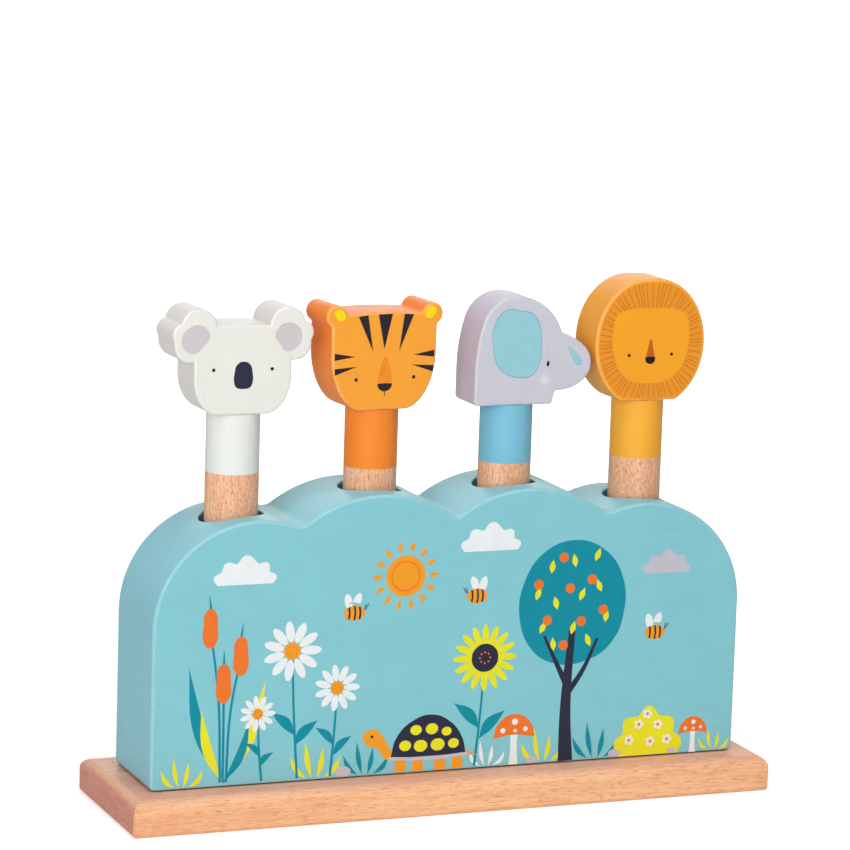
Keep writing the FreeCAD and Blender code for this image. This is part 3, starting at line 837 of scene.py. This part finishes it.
class TOY_OT_screws(bpy.types.Operator):
    """Turn the two wood screws, with a cross recess in the head and a thread"""
    bl_idname = "toy.screws"
    bl_label = "Screws"

    def execute(self, context):
        steel = context.scene.toy_steel
        low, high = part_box("base_screws")
        head_radius = (high.y - low.y) / 2
        bm = self.make_screw(steel, head_radius, low.z, high.z)
        middle = (low.x + high.x) / 2
        reach = (high.x - low.x) / 2 - head_radius
        bmesh.ops.translate(bm, verts=bm.verts[:], vec=(middle - reach, 0, 0))
        again = bmesh.ops.duplicate(bm, geom=bm.verts[:] + bm.edges[:] + bm.faces[:])["geom"]
        bmesh.ops.translate(bm, verts=all_verts(again), vec=(2 * reach, 0, 0))
        finish_piece("screws", bm, [steel_material("screw_steel", steel.colour)], "base",
                     ["base_screws"])
        return {"FINISHED"}

    @staticmethod
    def make_screw(steel, head_radius, low, high):
        """Head down: countersunk head, core and point in one turned shape, then the thread."""
        shank, core, neck = head_radius / 2, 0.36 * head_radius, low + 0.65 * head_radius
        edge_width, edge_height, taper = 0.1 * MM, 0.15 * MM, 0.4 * MM
        root, crest_height, tooth_height = core - 0.1 * MM, 0.5 * MM, 0.9 * MM
        thread_start, thread_end = low + 2.5 * head_radius, high - 1.2 * head_radius
        profile = ((0, low), (head_radius - edge_width, low), (head_radius, low + edge_height), (shank, neck),
                   (shank, thread_start - taper), (core, thread_start), (core, thread_end), (0, high))
        bm = bmesh.new()
        outline = [bm.verts.new((radius, 0, z)) for radius, z in profile]
        for first, second in zip(outline, outline[1:]):
            bm.edges.new((first, second))
        bmesh.ops.spin(bm, geom=bm.verts[:] + bm.edges[:], cent=(0, 0, 0), axis=(0, 0, 1),
                       angle=2 * math.pi, steps=40, use_merge=True)
        bmesh.ops.remove_doubles(bm, verts=bm.verts[:], dist=WELD)
        bmesh.ops.recalc_face_normals(bm, faces=bm.faces[:])
        length, width, depth = 1.1 * head_radius, 0.2 * head_radius, 0.42 * head_radius
        for across, along in ((length, width), (width, length)):
            blade = bmesh.new()
            bmesh.ops.create_cube(blade, size=1)
            bmesh.ops.scale(blade, verts=blade.verts[:], vec=(across, along, 2 * depth))
            bmesh.ops.translate(blade, verts=blade.verts[:], vec=(0, 0, low))
            inner = [vertex for vertex in blade.verts if vertex.co.z > low]
            bmesh.ops.scale(blade, verts=inner, vec=(0.45, 0.45, 1))
            bm = carve(bm, blade)
        turns = (thread_end - thread_start - steel.thread_lead) / steel.thread_lead
        tooth = [bm.verts.new((radius, 0, thread_start + z)) for radius, z in
                 ((root, 0), (shank, crest_height), (root, tooth_height))]
        edges = [bm.edges.new((tooth[i], tooth[(i + 1) % 3])) for i in range(3)]
        steps = round(20 * turns)
        bmesh.ops.spin(bm, geom=edges, cent=(0, 0, 0), axis=(0, 0, 1), steps=steps,
                       angle=2 * math.pi * turns, dvec=(0, 0, steel.thread_lead * turns / steps))
        bmesh.ops.holes_fill(bm, edges=[edge for edge in bm.edges if edge.is_boundary])
        return bm


# ------------------------------------------------------------------ printed shapes
# A shape is a closed loop of points (u, v) in millimetres, u to the right and v up. A third
# entry makes the point a corner; the line passes smoothly through the others.
def oval(u, v, half_width, half_height, tilt=0.0):
    lean = math.radians(tilt)
    points = []
    for step in range(8):
        angle = math.pi * step / 4
        across, up = half_width * math.cos(angle), half_height * math.sin(angle)
        points.append((u + across * math.cos(lean) - up * math.sin(lean),
                       v + across * math.sin(lean) + up * math.cos(lean)))
    return points


def leaf(base, tip, width, bend=0.0):
    """Pointed at both ends, bulging to the left of its length by the bend."""
    along = Vector(tip) - Vector(base)
    across = Vector((-along.y, along.x)).normalized()
    belly = Vector(base) + 0.45 * along + bend * across
    left, right = belly + width / 2 * across, belly - width / 2 * across
    return [(*base, True), tuple(left), (*tip, True), tuple(right)]


def band(route, start_width, end_width):
    """A strip along a route, tapering evenly from its start to its end."""
    sides = ([], [])
    last = len(route) - 1
    for index, point in enumerate(route):
        along = Vector(route[min(index + 1, last)]) - Vector(route[max(index - 1, 0)])
        across = Vector((-along.y, along.x)).normalized()
        half = (start_width + (end_width - start_width) * index / last) / 2
        corner = (True,) if index in (0, last) else ()
        for side, way in zip(sides, (1, -1)):
            side.append((*(Vector(point) + way * half * across), *corner))
    return sides[0] + sides[1][::-1]


def corners(*points):
    return [(u, v, True) for u, v in points]


def mirrored(points):
    return [(-point[0], *point[1:]) for point in reversed(points)]


def moved(points, u, v, size=1.0):
    return [(u + size * point[0], v + size * point[1], *point[2:]) for point in points]


class InkSheet:
    """Thin films of ink on one flat face, each layer a little higher than the last."""

    def __init__(self, settings, inks, face_y):
        self.bm = bmesh.new()
        self.settings = settings
        self.inks = inks
        self.face_y = face_y
        self.materials = {}
        self.printed = []

    def add(self, ink, *loops):
        """Prints a shape of one or more loops. A loop inside another is a hole in it."""
        if ink not in self.materials:
            self.materials[ink] = ink_material(ink, tuple(getattr(self.inks, ink)))
        top = self.settings.film + self.settings.step * self.next_level(loops)
        flat = self.fill(loops)
        before = set(self.bm.faces)
        self.bm.from_mesh(flat)
        bpy.data.meshes.remove(flat)
        faces = [face for face in self.bm.faces if face not in before]
        verts = list({vertex for face in faces for vertex in face.verts})
        bmesh.ops.translate(self.bm, verts=verts, vec=(0, 0, -self.settings.step))
        pushed = bmesh.ops.extrude_face_region(self.bm, geom=faces, use_keep_orig=True)["geom"]
        bmesh.ops.translate(self.bm, verts=all_verts(pushed), vec=(0, 0, top + self.settings.step))
        index = list(self.materials).index(ink)
        for face in self.bm.faces:
            if face not in before:
                face.material_index = index

    def next_level(self, loops):
        """One level above everything that is printed within the same rectangle."""
        us, vs = zip(*[point[:2] for loop in loops for point in loop])
        low, high = (min(us), min(vs)), (max(us), max(vs))
        below = [level for old_low, old_high, level in self.printed
                 if all(low[i] < old_high[i] and old_low[i] < high[i] for i in (0, 1))]
        level = max(below, default=-1) + 1
        self.printed.append((low, high, level))
        return level

    @staticmethod
    def fill(loops):
        curve = bpy.data.curves.new("shape", "CURVE")
        curve.dimensions = "2D"
        curve.fill_mode = "BOTH"
        curve.resolution_u = 6
        for loop in loops:
            spline = curve.splines.new("BEZIER")
            spline.bezier_points.add(len(loop) - 1)
            spline.use_cyclic_u = True
            for point, place in zip(spline.bezier_points, loop):
                point.co = (place[0] * MM, place[1] * MM, 0)
                point.handle_left_type = point.handle_right_type = "VECTOR" if place[2:] else "AUTO"
        item = add_object("shape", curve)
        mesh = bpy.data.meshes.new_from_object(item)
        bpy.data.objects.remove(item)
        bpy.data.curves.remove(curve)
        return mesh

    def finish(self, name, place, body):
        """Stands the sheet up on its face and puts it in its place on the toy."""
        bmesh.ops.remove_doubles(self.bm, verts=self.bm.verts[:], dist=WELD / 10)
        verts = self.bm.verts[:]
        bmesh.ops.rotate(self.bm, verts=verts, cent=(0, 0, 0), matrix=Matrix.Rotation(math.pi / 2, 3, "X"))
        bmesh.ops.translate(self.bm, verts=verts, vec=(0, self.face_y, 0))
        bmesh.ops.transform(self.bm, verts=verts, matrix=place)
        finish_piece(name, self.bm, list(self.materials.values()), body)


# ------------------------------------------------------------------ animal faces
KOALA_EARS = ([(-17.3, 33.7), (-21.4, 32.7), (-24.0, 29.3), (-23.9, 26.2), (-21.3, 23.6), (-18.2, 23.4),
               (-15.8, 25.8), (-13.4, 28.7), (-14.3, 32.0)],
              [(16.2, 33.7), (19.7, 33.2), (22.3, 30.4), (22.4, 27.2), (20.4, 24.3), (16.0, 23.3),
               (14.4, 25.4), (12.1, 28.8), (13.5, 32.2)])
KOALA_NOSE = [(0, 19.8), (-2.5, 18.7), (-3.5, 15.6), (-3.6, 12.2), (-2.7, 10.3), (0, 9.7),
              (2.7, 10.3), (3.6, 12.2), (3.5, 15.6), (2.5, 18.7)]
TIGER_BROW = (((-2.9, 35.9), (2.9, 36.0), (-0.2, 22.9)), ((-11.0, 35.3), (-7.1, 35.7), (-4.7, 22.0)),
              ((7.7, 35.8), (11.5, 35.6), (5.9, 21.9)))
TIGER_CHEEK = (((-20.3, 21.9), (-20.3, 19.3), (-11.9, 20.4)), ((-20.2, 16.1), (-20.0, 13.7), (-11.3, 16.7)))
ELEPHANT_EAR = [(-10.9, 27.6), (-10.5, 22.5), (-9.4, 17.2), (-7.1, 13.7), (-3.5, 11.3), (1.6, 10.3),
                (5.4, 10.9), (7.8, 13.3), (9.2, 17.6), (9.4, 22.4), (8.9, 28.3), (7.4, 32.6),
                (4.5, 35.2), (0.6, 35.9), (-3.3, 36.7), (-6.8, 35.6), (-9.4, 32.4)]
ELEPHANT_DROP = [(20.2, 22.0, True), (22.9, 19.9), (25.6, 17.1), (25.9, 15.2), (24.4, 14.7), (22.6, 16.6)]
LION_FACE = [(0, 35.6), (8.8, 35.3), (14.4, 33.3), (16.0, 27.5), (15.8, 20.5), (13.7, 13.6),
             (9.5, 8.8), (4.6, 7.0), (0, 6.8)]


def ring_reach(loop, centre, angle):
    """Where a ray from the centre at this angle crosses the loop."""
    far = (centre[0] + 99 * math.cos(angle), centre[1] + 99 * math.sin(angle))
    for start, end in zip(loop, loop[1:] + loop[:1]):
        hit = intersect_line_line_2d(centre, far, start[:2], end[:2])
        if hit:
            return hit
    raise ValueError("The centre lies outside the loop")


def add_eyes(sheet, radius, *places):
    sheet.add("black", *[oval(u, v, radius, radius) for u, v in places])


class TOY_OT_faces(bpy.types.Operator):
    """Print the four animals' faces"""
    bl_idname = "toy.faces"
    bl_label = "Faces"

    def execute(self, context):
        for animal in ANIMALS:
            sheet = InkSheet(context.scene.toy_print, context.scene.toy_ink, -HEAD_THICKNESS / 2)
            getattr(self, "draw_" + animal)(sheet)
            place = (Matrix.Translation((peg_x(animal), 0, CHIN_Z))
                     @ Matrix.Rotation(head_turn(animal), 4, "Z"))
            sheet.finish("face_" + animal, place, animal + "_peg")
        return {"FINISHED"}

    @staticmethod
    def draw_koala(sheet):
        sheet.add("ear_grey", *KOALA_EARS)
        sheet.add("navy", KOALA_NOSE)
        add_eyes(sheet, 0.65, (-11.6, 17.0), (11.1, 16.8))

    @staticmethod
    def draw_tiger(sheet):
        cheek = [corners(*stripe) for stripe in TIGER_CHEEK]
        sheet.add("stripe", *cheek, *[mirrored(stripe) for stripe in cheek],
                  *[corners(*stripe) for stripe in TIGER_BROW])
        patch = [(-20.7, 37.2), (-17.9, 38.1), (-16.7, 36.7), (-16.3, 34.8), (-18.5, 33.9), (-19.9, 35.1)]
        sheet.add("ear_yellow", patch, mirrored(patch))
        bridge = [(0.3, 19.7), (-0.9, 17.6), (-2.0, 14.2), (-2.5, 9.8, True), (3.2, 9.8, True),
                  (2.6, 14.2), (1.5, 17.6)]
        sheet.add("rust", bridge)
        sheet.add("ginger", moved(bridge, 0.02, 0.6, 0.955))
        sheet.add("rust", *[band([(-1.6 + 0.18 * step, 12.6 + 1.25 * step),
                                  (0.5 - 0.04 * step, 13.5 + 1.25 * step)], 0.16, 0.1) for step in range(5)])
        nose = [(-2.7, 9.9, True), (0.3, 10.1), (3.4, 9.9, True), (2.6, 8.1), (0.3, 7.1), (-2.0, 8.1)]
        sheet.add("stripe", nose)
        sheet.add("stripe", band([(0.3, 7.3), (0.4, 5.5)], 0.3, 0.22))
        add_eyes(sheet, 0.65, (-11.4, 11.8), (12.1, 12.0))

    @staticmethod
    def draw_elephant(sheet):
        sheet.add("ear_rim", ELEPHANT_EAR, ELEPHANT_DROP)
        sheet.add("ear_teal", moved(ELEPHANT_EAR, -0.02, 0.7, 0.97),
                  moved(ELEPHANT_DROP, 2.84, 2.09, 0.88))
        sheet.add("black", oval(12.2, 15.5, 0.52, 1.1, -6))

    @staticmethod
    def draw_lion(sheet):
        face = LION_FACE + mirrored(LION_FACE)[1:-1]
        rim = [(2.5 + 18.9 * math.cos(math.radians(angle)), 22.1 + 23.2 * math.sin(math.radians(angle)))
               for angle in range(90, -61, -15)]
        rim.append((9.2, 1.3))
        rim += mirrored(rim)
        sheet.add("mane", rim, face)
        centre = (0, 22.0)
        hairs = []
        for step in range(68):
            angle = 2 * math.pi * (step + 0.3 * math.sin(5.0 * step)) / 68
            inner, outer = ring_reach(face, centre, angle), ring_reach(rim, centre, angle)
            start = inner.lerp(outer, 0.05 + 0.05 * math.sin(3.0 * step))
            hairs.append(band([start, outer], 0.42, 0.3))
        sheet.add("mane_line", *hairs)
        sheet.add("brown", corners((-0.35, 23.6), (0.35, 23.6), (1.9, 16.4), (-1.9, 16.4)))
        sheet.add("black", [(-2.1, 16.7, True), (0, 17.0), (2.1, 16.7, True), (1.7, 15.0), (0, 14.2),
                            (-1.7, 15.0)])
        add_eyes(sheet, 0.6, (-8.9, 17.7), (8.9, 17.7))


# ------------------------------------------------------------------ picture on the block
CLOUD = [(-12, 0, True), (-13.5, 3.2), (-10.2, 5.6, True), (-8.4, 9.2), (-3.6, 8.6, True), (0.5, 12.2),
         (5.6, 8.4, True), (9.6, 8.6), (10.4, 4.9, True), (13.4, 3.0), (12, 0, True)]
BUSH = [(-13, 0, True), (-15, 5.5), (-11.2, 9.5, True), (-10.5, 15.0), (-4.6, 16.0, True), (0.2, 20.4),
        (5.0, 15.8, True), (10.8, 14.6), (11.2, 9.0, True), (15, 5.0), (13, 0, True)]
TORTOISE_SHELL = [(-15, 6.5, True), (-12.6, 14.6), (-6.4, 20.4), (1.0, 22.4), (8.6, 19.4), (13.8, 12.8),
                  (15.4, 6.5, True)]
TREE_MARKS = ((-13, 51, 62), (-7, 44, 96), (0, 50, 74), (8, 45, 110), (14, 54, 84), (-15, 64, 70),
              (-6, 60, 104), (3, 63, 66), (12, 66, 112), (-9, 74, 82), (1, 76, 100), (9, 78, 68))
TREE_FRUIT = ((-10, 56), (4, 55), (-1, 68), (13, 59), (-14, 70), (8, 71), (-4, 80), (-3, 46))


class TOY_OT_picture(bpy.types.Operator):
    """Print a meadow on the front of the block"""
    bl_idname = "toy.picture"
    bl_label = "Picture"

    def execute(self, context):
        sheet = InkSheet(context.scene.toy_print, context.scene.toy_ink, BLOCK_LOW.y)
        for u, ink, size in ((-106, "lime", 0.9), (-54, "lime", 1.1), (-34, "teal", 1.0), (15, "white", 0.8),
                             (38, "lime", 1.0), (60, "teal", 1.1), (110, "lime", 0.7)):
            self.draw_grass(sheet, u, ink, size)
        self.draw_reeds(sheet, -90)
        for u, v, size, lean in ((-64, 50, 1.15, 3), (-46, 35, 0.9, -2), (-77, 27, 0.7, 2)):
            self.draw_flower(sheet, u, v, size, lean, 11, "white", "amber")
        self.draw_flower(sheet, 13, 43, 1.3, -3, 16, "lime", "navy")
        self.draw_sun(sheet, -20, 76)
        self.draw_tree(sheet, 48)
        self.draw_tortoise(sheet, -9)
        self.draw_bush(sheet, 82)
        for u, size in ((26, 1.0), (101, 0.72)):
            self.draw_toadstool(sheet, u, size)
        sheet.add("white", moved(CLOUD, 14, 84, 0.9), moved(CLOUD, -83, 76, 0.9))
        sheet.add("lilac", moved(CLOUD, 87, 72, 0.75))
        for u, v, way in ((-40, 63, 1), (9, 67, -1), (83, 49, 1)):
            self.draw_bee(sheet, u, v, way)
        sheet.add("lilac", *[oval(u, 2.2 * size + 0.8, 3.6 * size, 2.2 * size)
                             for u, size in ((-43, 0.9), (68, 0.7), (33.5, 0.6), (92, 0.5))])
        place = Matrix.Translation((0, 0, BLOCK_LOW.z))
        sheet.finish("picture", place, "base")
        return {"FINISHED"}

    @staticmethod
    def draw_reeds(sheet, u):
        """Bulrushes with long bent leaves"""
        for tip, width, bend, ink in (((-14, 46), 4.6, 3, "teal"), ((16, 40), 4.2, -3, "lime"),
                                      ((-9, 30), 3.8, 2, "lime"), ((10, 25), 3.4, -2, "teal")):
            sheet.add(ink, leaf((u, 1.5), (u + tip[0], tip[1]), width, bend))
        stalks = ((68, -6), (47, -0.5), (57, 6))
        sheet.add("teal", *[band([(u + 0.2 * lean, 2), (u + 0.4 * lean, top / 2), (u + lean, top - 8)],
                                 1, 0.8) for top, lean in stalks])
        head = [(-2.5, 3), (-2.7, 9), (-2.0, 14.2), (0, 15.6), (2.0, 14.2), (2.7, 9), (2.5, 3), (0, 0.8)]
        sheet.add("orange", *[moved(head, u + lean, top - 16) for top, lean in stalks])
        sheet.add("teal", *[band([(u + lean, top - 0.3), (u + 1.1 * lean, top + 4.5)], 0.9, 0.2)
                            for top, lean in stalks])

    @staticmethod
    def draw_flower(sheet, u, v, size, lean, count, petals, core):
        """A flower head on a bent stalk, with two leaves"""
        sheet.add("teal", band([(u + lean, 1.5), (u + 0.4 * lean, v / 2), (u, v)], 1.0, 0.8))
        for side in (-1, 1):
            foot = (u + 0.5 * lean, 0.32 * v - 2 * side)
            sheet.add("teal", leaf(foot, (foot[0] + 8 * side * size, foot[1] + 8 * size), 3.4 * size, side))
        turns = [2 * math.pi * step / count for step in range(count)]
        around = [(math.cos(turn), math.sin(turn)) for turn in turns]
        sheet.add(petals, *[oval(u + 6.4 * size * x, v + 6.4 * size * y, 3.5 * size, 16 * size / count,
                                 math.degrees(math.atan2(y, x))) for x, y in around])
        sheet.add(core, oval(u, v, 0.26 * count * size, 0.26 * count * size))
        sheet.add("orange", *[oval(u + 1.6 * size * x, v + 1.6 * size * y, 0.36, 0.36)
                              for x, y in around[::2]])

    @staticmethod
    def draw_sun(sheet, u, v):
        around = [Vector((math.cos(math.pi * step / 7), math.sin(math.pi * step / 7))) for step in range(14)]
        sheet.add("amber", *[leaf((u + 9 * ray.x, v + 9 * ray.y), (u + 13.4 * ray.x, v + 13.4 * ray.y), 1.9)
                             for ray in around])
        sheet.add("amber", oval(u, v, 7.8, 7.8))
        sheet.add("orange", oval(u, v, 5.8, 5.8), oval(u, v, 5.3, 5.3))

    @staticmethod
    def draw_tree(sheet, u):
        """A round tree in fruit"""
        crown = [(-21.5, 58), (-20.0, 71), (-12.5, 82), (0, 86.5), (12.5, 82.5), (20.5, 72), (21.8, 58),
                 (16.5, 45.5), (6.5, 39.5), (-6.0, 39.0), (-16.0, 45)]
        sheet.add("teal", moved(crown, u, 0))
        sheet.add("navy", band([(u - 0.5, 0.8), (u - 1.2, 22), (u + 0.5, 52)], 6.0, 2.6))
        for tip, start in (((-11, 50), 30), ((11, 48), 27)):
            sheet.add("navy", band([(u - 0.8, start), (u + 0.5 * tip[0], start + 9), (u + tip[0], tip[1])],
                                   2.6, 1.0))
        marks = []
        for mark_u, mark_v, degrees in TREE_MARKS:
            way = Vector((math.cos(math.radians(degrees)), math.sin(math.radians(degrees))))
            start = Vector((u + mark_u, mark_v))
            marks.append(leaf(tuple(start), tuple(start + 5.4 * way), 2.3))
        sheet.add("lime", *marks)
        sheet.add("orange", *[oval(u + fruit_u, fruit_v, 1.9, 1.9) for fruit_u, fruit_v in TREE_FRUIT])

    @staticmethod
    def draw_tortoise(sheet, u):
        sheet.add("amber", *[corners((u + foot - 1.9, 8), (u + foot + 1.9, 8), (u + foot + 2.3, 1),
                                     (u + foot - 2.3, 1)) for foot in (-11, -4, 5, 12)])
        neck = [(-12, 8, True), (-15.5, 10.5), (-18.4, 15.6), (-22.4, 18.2), (-26.2, 15.6), (-24.6, 12.2),
                (-20.4, 10.6), (-17.0, 6.4), (-12, 5.4, True)]
        tail = corners((14, 8.6), (20, 5.6), (14, 6.4))
        sheet.add("amber", moved(neck, u, 0), moved(tail, u, 0))
        sheet.add("navy", moved(TORTOISE_SHELL, u, 0))
        sheet.add("lilac", band([(u - 15.6, 6.4), (u, 5.6), (u + 16, 6.4)], 1.3, 1.3))
        sheet.add("lime", *[oval(u + patch_u, patch_v, width, 0.84 * width) for patch_u, patch_v, width in
                            ((-9.2, 11.0, 2.4), (-5.0, 16.8, 2.3), (-3.0, 10.6, 2.7), (1.4, 16.9, 2.5),
                             (3.9, 10.7, 2.8), (7.4, 15.6, 2.0), (10.3, 10.8, 2.2))])
        add_eyes(sheet, 0.55, (u - 22.6, 15.4))

    @staticmethod
    def draw_bush(sheet, u):
        sheet.add("lime", moved(BUSH, u, 0.8, 0.95))
        blooms = [(u + x, y) for x, y in ((-8, 7), (-4, 13), (1, 6), (4, 12.5), (8, 6.5), (-0.5, 17))]
        around = [(math.cos(0.4 * math.pi * step), math.sin(0.4 * math.pi * step)) for step in range(5)]
        sheet.add("white", *[oval(bloom_u + 1.3 * x, bloom_v + 1.3 * y, 0.7, 0.7)
                             for bloom_u, bloom_v in blooms for x, y in around])
        sheet.add("orange", *[oval(bloom_u, bloom_v, 0.6, 0.6) for bloom_u, bloom_v in blooms])

    @staticmethod
    def draw_toadstool(sheet, u, size):
        stem = [(-1.9, 0.8, True), (-1.3, 7), (-1.5, 13, True), (1.5, 13, True), (1.3, 7), (1.9, 0.8, True)]
        sheet.add("white", moved(stem, u, 0, size))
        cap = [(-8.5, 11.2, True), (-6.8, 16.6), (0, 20.4), (6.8, 16.6), (8.5, 11.2, True), (0, 12.4)]
        sheet.add("orange", moved(cap, u, 0, size))
        sheet.add("white", *[oval(u + x * size, y * size, radius * size, radius * size) for x, y, radius in
                             ((-4.6, 14.2, 1.0), (0.2, 17.4, 1.2), (4.6, 14.4, 0.95), (0.4, 13.9, 0.7))])

    @staticmethod
    def draw_bee(sheet, u, v, way):
        """Flying to the right where the way is 1, else to the left"""
        wings = [oval(wing_u, wing_v, 3.1, 1.5, tilt) for wing_u, wing_v, tilt in
                 ((1.0, 4.6, 68), (-2.4, 4.3, 104))]
        sheet.add("white", *[moved([(way * x, y) for x, y in wing], u, v) for wing in wings])
        sheet.add("amber", oval(u, v, 4.2, 2.8))
        stripes = []
        for stripe in (-2.2, 0.0, 2.0):
            height = 2.8 * math.sqrt(1 - (stripe / 4.2) ** 2) - 0.1
            stripes.append(band([(u + stripe, v - height), (u + stripe + 0.3, v), (u + stripe, v + height)],
                                0.75, 0.75))
        start = (u + way * 3.6, v + 1.2)
        feelers = [band([(start[0] + 0.4 * way * lean, start[1]), (start[0] + way * lean, start[1] + 2.2)],
                        0.3, 0.3) for lean in (0.9, 2.0)]
        sheet.add("navy", *stripes, *feelers)

    @staticmethod
    def draw_grass(sheet, u, ink, size):
        blades = []
        for lean, height in ((-6, 9), (-2.4, 14), (1.9, 11.5), (6.2, 8)):
            foot = u + 0.5 * lean * size
            blades.append(leaf((foot, 1.0), (foot + lean * size, height * size), 1.9 * size, -0.18 * lean))
        sheet.add(ink, *blades)


# ------------------------------------------------------------------ panel and registering
class TOY_PT_pieces(bpy.types.Panel):
    """Lists the pieces of the toy in the sidebar"""
    bl_idname = "TOY_PT_pieces"
    bl_label = "Pop up animal toy"
    bl_space_type = "VIEW_3D"
    bl_region_type = "UI"
    bl_category = "Toy"

    def draw(self, context):
        for step in STEPS:
            self.layout.operator(step.bl_idname)


STEPS = (TOY_OT_stage, TOY_OT_board, TOY_OT_block, TOY_OT_screws, TOY_OT_springs, TOY_OT_pins,
         TOY_OT_dowels, TOY_OT_heads, TOY_OT_faces, TOY_OT_picture)
CLASSES = (*SETTINGS.values(), *STEPS, TOY_PT_pieces)


def register():
    for kind in CLASSES:
        bpy.utils.register_class(kind)
    for name, kind in SETTINGS.items():
        setattr(bpy.types.Scene, name, PointerProperty(type=kind))


def unregister():
    for name in SETTINGS:
        delattr(bpy.types.Scene, name)
    for kind in reversed(CLASSES):
        bpy.utils.unregister_class(kind)


def main():
    register()
    for step in STEPS:
        group, name = step.bl_idname.split(".")
        getattr(getattr(bpy.ops, group), name)()


if __name__ == "__main__":
    main()
